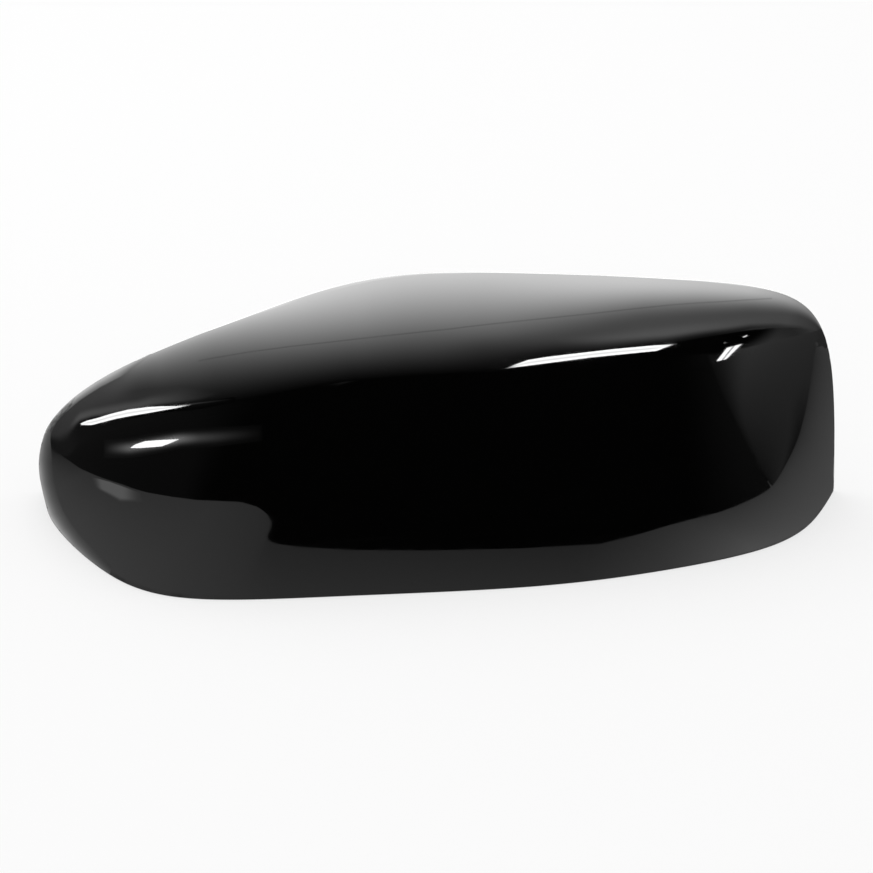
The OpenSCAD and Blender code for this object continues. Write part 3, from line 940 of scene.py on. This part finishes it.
# %% Floor card
def floor_tone(s, t):
    """Tone of the band along the foot, from its upper to its lower edge."""
    inner = ramp(s, (0, 22), (0.06, 44), (0.2, 44), (0.3, 34), (0.62, 31), (0.74, 44), (0.84, 46),
                 (0.9, 34), (1, 32))
    outer = ramp(s, (0, 60), (0.1, 62), (0.22, 50), (0.32, 41), (0.6, 39), (0.68, 52), (0.76, 76),
                 (0.82, 72), (0.9, 66), (1, 52))
    return inner + (outer - inner) * t ** ramp(s, (0.76, 1), (0.86, 0.5), (1, 0.5))


floor_top = [
    (50, 434), (50.2, 441), (51.5, 447), (56, 452.5), (66, 458.5), (80, 468.5), (97, 476), (110, 480.5),
    (122, 484.3), (133, 488.5), (147, 492.5), (170, 496.5), (196, 500), (241, 502), (258, 507),
    (267, 514), (272, 523), (270, 530), (267, 537), (269, 541), (278, 544), (300, 547), (351, 550),
    (430, 550.5), (520, 548.5), (600, 544), (640, 534), (670, 525), (719, 512.3), (733, 507.3),
    (745.5, 502), (757, 496.5), (768, 490), (775, 483), (779.5, 476), (784, 468), (788, 460.5),
    (792, 452.5), (796, 443.5), (799.5, 434), (802, 424.5), (804.5, 415), (806.5, 406), (810, 384),
    (813, 362), (814.5, 343)]
floor_low = [
    (38, 434), (37, 460), (42, 490), (48, 516), (62, 536), (78, 552), (92, 563), (121, 581),
    (146, 590.5), (178, 597), (218, 599), (260, 598.5), (300, 597), (380, 594), (460, 590.5),
    (540, 585.5), (620, 576.5), (700, 563.5), (745, 553.5), (782, 542), (806, 527.5), (820, 516),
    (830.5, 502), (837, 486), (837.5, 460), (836, 430), (835, 400), (833, 370), (829, 352), (817, 341.5)]
pixel_lamp("card_floor", floor_top, floor_low, floor_tone, FLOOR_DISTANCE, along=200, across=24)


# %% Bright edges and a patch at the nose
def brow_tone(s, t):
    """Bright edge over the nose, from the roof down to the tip."""
    inner = ramp(s, (0, 160), (0.1, 122), (0.2, 100), (0.4, 110), (0.6, 98), (0.8, 82), (1, 84))
    return inner + (ramp(s, (0, 176), (0.2, 198)) - inner) * t ** 1.2


def limb_tone(s, t):
    """Bright edge under the nose, which fades towards the foot."""
    strength = ramp(s, (0, 1), (0.65, 1), (1, 0.3))
    inner = ramp(s, (0, 76), (0.1, 58), (0.2, 52), (0.5, 66), (0.75, 62), (1, 52))
    return inner + strength * (175 - inner) * (0.4 * t + 0.6 * t ** 3)


brow_in = [(152, 354.6), (140, 363.2), (129, 371), (120, 377), (110, 382), (100, 387.3), (90, 393.7),
           (80, 400.3), (70, 408.5), (62, 416), (56.8, 422), (53.3, 428), (50.6, 434)]
brow_out = [(151, 353.6), (139, 359), (125, 365.8), (117, 370), (108, 375), (98, 380.5), (85, 389.4),
            (77, 395.3), (69, 402), (61, 409.5), (53, 418.3), (47.5, 426), (43, 434)]
pixel_lamp("brow_nose", brow_in, brow_out, brow_tone, EDGE_DISTANCE, along=60, across=12)
limb_out = [(42.5, 433), (39, 445), (37, 460), (40, 485), (44.5, 502), (49.5, 516), (59.5, 532),
            (72.5, 547), (89.5, 561), (109.5, 575)]
limb_in = [(50.8, 433), (50.4, 440), (51, 447), (52, 460), (54, 482), (58, 498), (63, 511), (71, 524),
           (81, 537), (95, 551), (112, 567)]
pixel_lamp("limb_nose", limb_in, limb_out, limb_tone, EDGE_DISTANCE, along=80, across=12,
           clear=1.5 * NEAR_FLOOR)
patch_top = [(92, 477), (110, 482), (124, 487), (140, 493)]
patch_foot = [(95, 488), (108, 495), (120, 502), (142, 502)]
pixel_lamp("patch_nose", patch_top, patch_foot,
           lambda s, t: 49 + 33 * ease(0, 0.2, s) * ease(1, 0.6, s) * ease(1, 0.7, t),
           PATCH_DISTANCE, across=12, clear=1.3 * NEAR_FLOOR)


# %% Panel and haze at the blunt end
def panel_tone(s, t):
    """The corner panel darkens down to its point and along its right edge."""
    left_edge = ease(-0.06, ramp(s, (0, 0.36), (0.5, 0.12)), t)
    right_edge = 16 * ease(0.7, 0.9, t) * ease(0.25, 0.7, s)
    return 8 + left_edge * (42 - 42 * s ** 0.8 + (s * 38 - 13) * t) - right_edge


panel_left = [(708, 357), (722, 392), (733, 415), (743, 436), (757, 465), (770, 484)]
panel_right = [(829, 328), (827, 348), (815, 384), (811, 412), (805, 437), (795, 460), (778, 491)]
pixel_lamp("panel_corner", panel_left, panel_right, panel_tone, PANEL_DISTANCE, across=20,
           clear=0.9 * NEAR_FLOOR)
haze_left = [(672, 356), (680, 420), (690, 527)]
haze_right = [(728, 352), (741, 420), (757, 463), (776, 496)]
pixel_lamp("haze_corner", haze_left, haze_right, lambda s, t: 8 * ease(0, 1, t), HAZE_DISTANCE,
           along=12, across=12, clear=0.8 * NEAR_FLOOR)

# %% [markdown]
# ### Tubes and softboxes
#
# The crisp white shapes are small lamps: a strip and a lozenge at the nose, a strip on the roof, a
# pair of tubes at the corner and two glints beside them.

# %% Lamps that burn out
BURNT, TWIN_DIP = 266, 46


def twin(s, t):
    """A softbox with two tubes in it: full light, with a faint dip along the middle."""
    return BURNT - TWIN_DIP * ease(0.25, 0.0, abs(t - 0.5)) * ease(1.0, 0.85, s)


def haze_tone(s, t):
    """Soft glow round the lozenge, brightest along its middle."""
    return 15 - 11 * s + 100 * (4 * t * (1 - t)) ** 3 * ramp(
        s, (0, 0), (0.15, 0.75), (0.45, 1.0), (0.6, 0.5), (1, 0))


nose_top = [(80.5, 423.6), (86.8, 420.7), (97, 418.2), (110, 414.1), (128, 409.7), (148, 407.1),
            (160, 406.4), (176, 406.2), (191, 404.5)]
nose_foot = [(81.4, 425), (92, 425), (99.5, 423), (116, 418.7), (134, 415.3), (150, 412.7),
             (163, 410.3), (177, 407.9), (191, 405)]
pixel_lamp("strip_nose", nose_top, nose_foot, lambda s, t: twin(s, t) * ease(1.1, 0.86, s),
           TUBE_DISTANCE, along=60, across=12)
tail_top, tail_foot = [(180, 404.3), (235, 397)], [(180, 406.5), (235, 400.5)]
pixel_lamp("tail_nose", tail_top, tail_foot, lambda s, t: 70 * (1 - s) * 2 * min(t, 1 - t), PATCH_DISTANCE)
glow_top = [(104, 440), (130, 438), (155, 433), (180, 429), (215, 427), (262, 425)]
glow_foot = [(104, 458), (130, 458), (155, 454), (180, 449), (215, 447), (262, 441)]
pixel_lamp("haze_nose", glow_top, glow_foot, haze_tone, HAZE_DISTANCE, across=20)
roof_top = [(504, 369.1), (513, 365.4), (528, 360), (546, 357.1), (569, 354.3), (613, 349.2),
            (653, 345.5), (674, 344.4)]
roof_low = [(503, 369.1), (511, 367.8), (547, 363.2), (591, 357.4), (636, 352.9), (657, 350.8),
            (668, 346.4), (672, 344.6)]
pixel_lamp("strip_roof", roof_top, roof_low, lambda s, t: twin(s, t) * ease(-0.05, 0.1, s),
           TUBE_DISTANCE, along=60, across=12)

# %% Small lamps of one tone each
# Name, upper and lower line, tone, and points along and across
small_lamps = [
    ("lozenge_nose", [(130.5, 447.7), (135, 444.6), (145, 441.2), (158, 440.2), (178.5, 439.2)],
     [(131, 448), (140, 448), (154, 447), (162, 446.2), (170, 443.2), (178.5, 439.5)], BURNT, 30, 6),
    ("tube_corner_left", [(716.4, 361.2), (727, 347.8)], [(721.6, 360.4), (732.8, 346.2)], BURNT, 8, 6),
    ("tube_corner_right", [(723.1, 360), (734.9, 345.6)], [(726.5, 359), (741.8, 343.9)], BURNT, 8, 6),
    ("glint_corner", [(743, 336.6), (747, 335)], [(743.4, 337.6), (747.4, 336)], 225, 4, 2),
    ("glint_small", [(724.4, 342.3), (725.6, 342)], [(724.6, 343.4), (725.8, 343.1)], 150, 2, 2),
]
for name, upper, lower, level, along, across in small_lamps:
    pixel_lamp(name, upper, lower, lambda s, t: level, TUBE_DISTANCE, along, across)

# %% The seam in the softbox
# The seam between two lengths of the softbox's cloth lets a little less light through
seam = bpy.data.materials.new("Cloth seam")
tree = bare(seam)
show(tree, node(tree, "ShaderNodeBsdfTransparent", None, {"Color": linear("#e2e2e2")}))
SEAM_HALF = 0.7
seam_line = [(199, 360.8), (210, 358.6), (230, 355.2), (250, 351.8), (270, 349.2), (290, 346.5),
             (330, 342.1), (370, 337.5), (410, 333.2), (450, 329), (470, 326.4), (510, 322), (550, 317.9),
             (590, 313.8), (630, 309.2), (670, 305), (700, 302.8), (719, 301.8), (745, 300), (772, 298.4)]
seam_top, seam_foot = ([(x, y + side * SEAM_HALF) for x, y in seam_line] for side in (-1, 1))
pixel_lamp("seam_roof", seam_top, seam_foot, lambda s, t: 0, SEAM_DISTANCE, along=120, across=2, cloth=seam)

# %% [markdown]
# ## Floor, backdrop and key light
#
# The floor and the world are white to whatever looks at them. The floor keeps a share of its real
# shading, so the cap still has a soft contact shadow and doesn't float.

# %% White to look at, plain to be lit by
FLOOR_SIZE = 12.0
WHITENED = 0.7
FLOOR_PALE = "#f4f4f4"
WORLD_LIGHT = 0.7
KEY_POWER, KEY_SIZE, KEY_PLACE = 9.0, 1.4, Vector((-0.3, 0.5, 1.3))


def is_looked_at(tree):
    """1 for rays that look: from the camera, off a gloss, or through something clear."""
    path = tree.nodes.new("ShaderNodeLightPath").outputs
    either = scalar(tree, "MAXIMUM", path["Is Camera Ray"], path["Is Glossy Ray"])
    return scalar(tree, "MAXIMUM", either, path["Is Transmission Ray"])


def rectangle(x0, x1, y0, y1, z):
    """Corners of a level rectangle, in two rows of two."""
    return [(x, y, z) for y in (y0, y1) for x in (x0, x1)]


paper = bpy.data.materials.new("White paper sweep")
tree = bare(paper)
lit = node(tree, "ShaderNodeBsdfDiffuse", None, {"Color": linear(FLOOR_PALE)})
white = node(tree, "ShaderNodeEmission", None, {"Color": linear(WHITE), "Strength": 1.0})
share = scalar(tree, "MULTIPLY", is_looked_at(tree), WHITENED)
show(tree, node(tree, "ShaderNodeMixShader", None, {0: share, 1: lit.outputs[0], 2: white.outputs[0]}))

reach = FLOOR_SIZE / 2
floor = placed("floor", mesh_from("floor", rectangle(-reach, reach, -reach, reach, 0), [(0, 1, 3, 2)]))
floor.data.materials.append(paper)

# %% Velvet and skirt
# Black velvet in front of the cap, and a paler skirt round its foot, for reflections only
VELVET_REACH = 2.9
SKIRT_NEAR, SKIRT_FAR = 30 * MM, 120 * MM
SKIRT_DIM, SKIRT_PALE = 0.34, 0.6
velvet = rectangle(-VELVET_REACH, VELVET_REACH, -VELVET_REACH, 0, 0.5 * NEAR_FLOOR)
hang_sheet("velvet", velvet, 2, [0.0] * 4)
skirt = rectangle(low_corner[0] - SKIRT_NEAR, high_corner[0] + SKIRT_FAR,
                  low_corner[1] - SKIRT_NEAR, high_corner[1] + SKIRT_FAR, 0.75 * NEAR_FLOOR)
hang_sheet("skirt", skirt, 2, [SKIRT_DIM, SKIRT_PALE] * 2)

# %% World and key light
world = bpy.data.worlds.new("white studio")
bpy.context.scene.world = world
tree = bare(world)
strength = scalar(tree, "MAXIMUM", is_looked_at(tree), WORLD_LIGHT)
sky = node(tree, "ShaderNodeBackground", None, {"Color": linear(WHITE), "Strength": strength})
show(tree, sky, "ShaderNodeOutputWorld")

key_data = bpy.data.lights.new("key softbox", "AREA")
key_data.energy, key_data.size = KEY_POWER, KEY_SIZE
key = placed("key softbox", key_data)
key.location = KEY_PLACE
key.rotation_euler = (-KEY_PLACE).to_track_quat("-Z", "Y").to_euler()
key.visible_glossy = False
bpy.context.scene.view_settings.view_transform = "Standard"
print("key light of", KEY_POWER, "W hangs", round(KEY_PLACE.z, 2), "m above the floor")
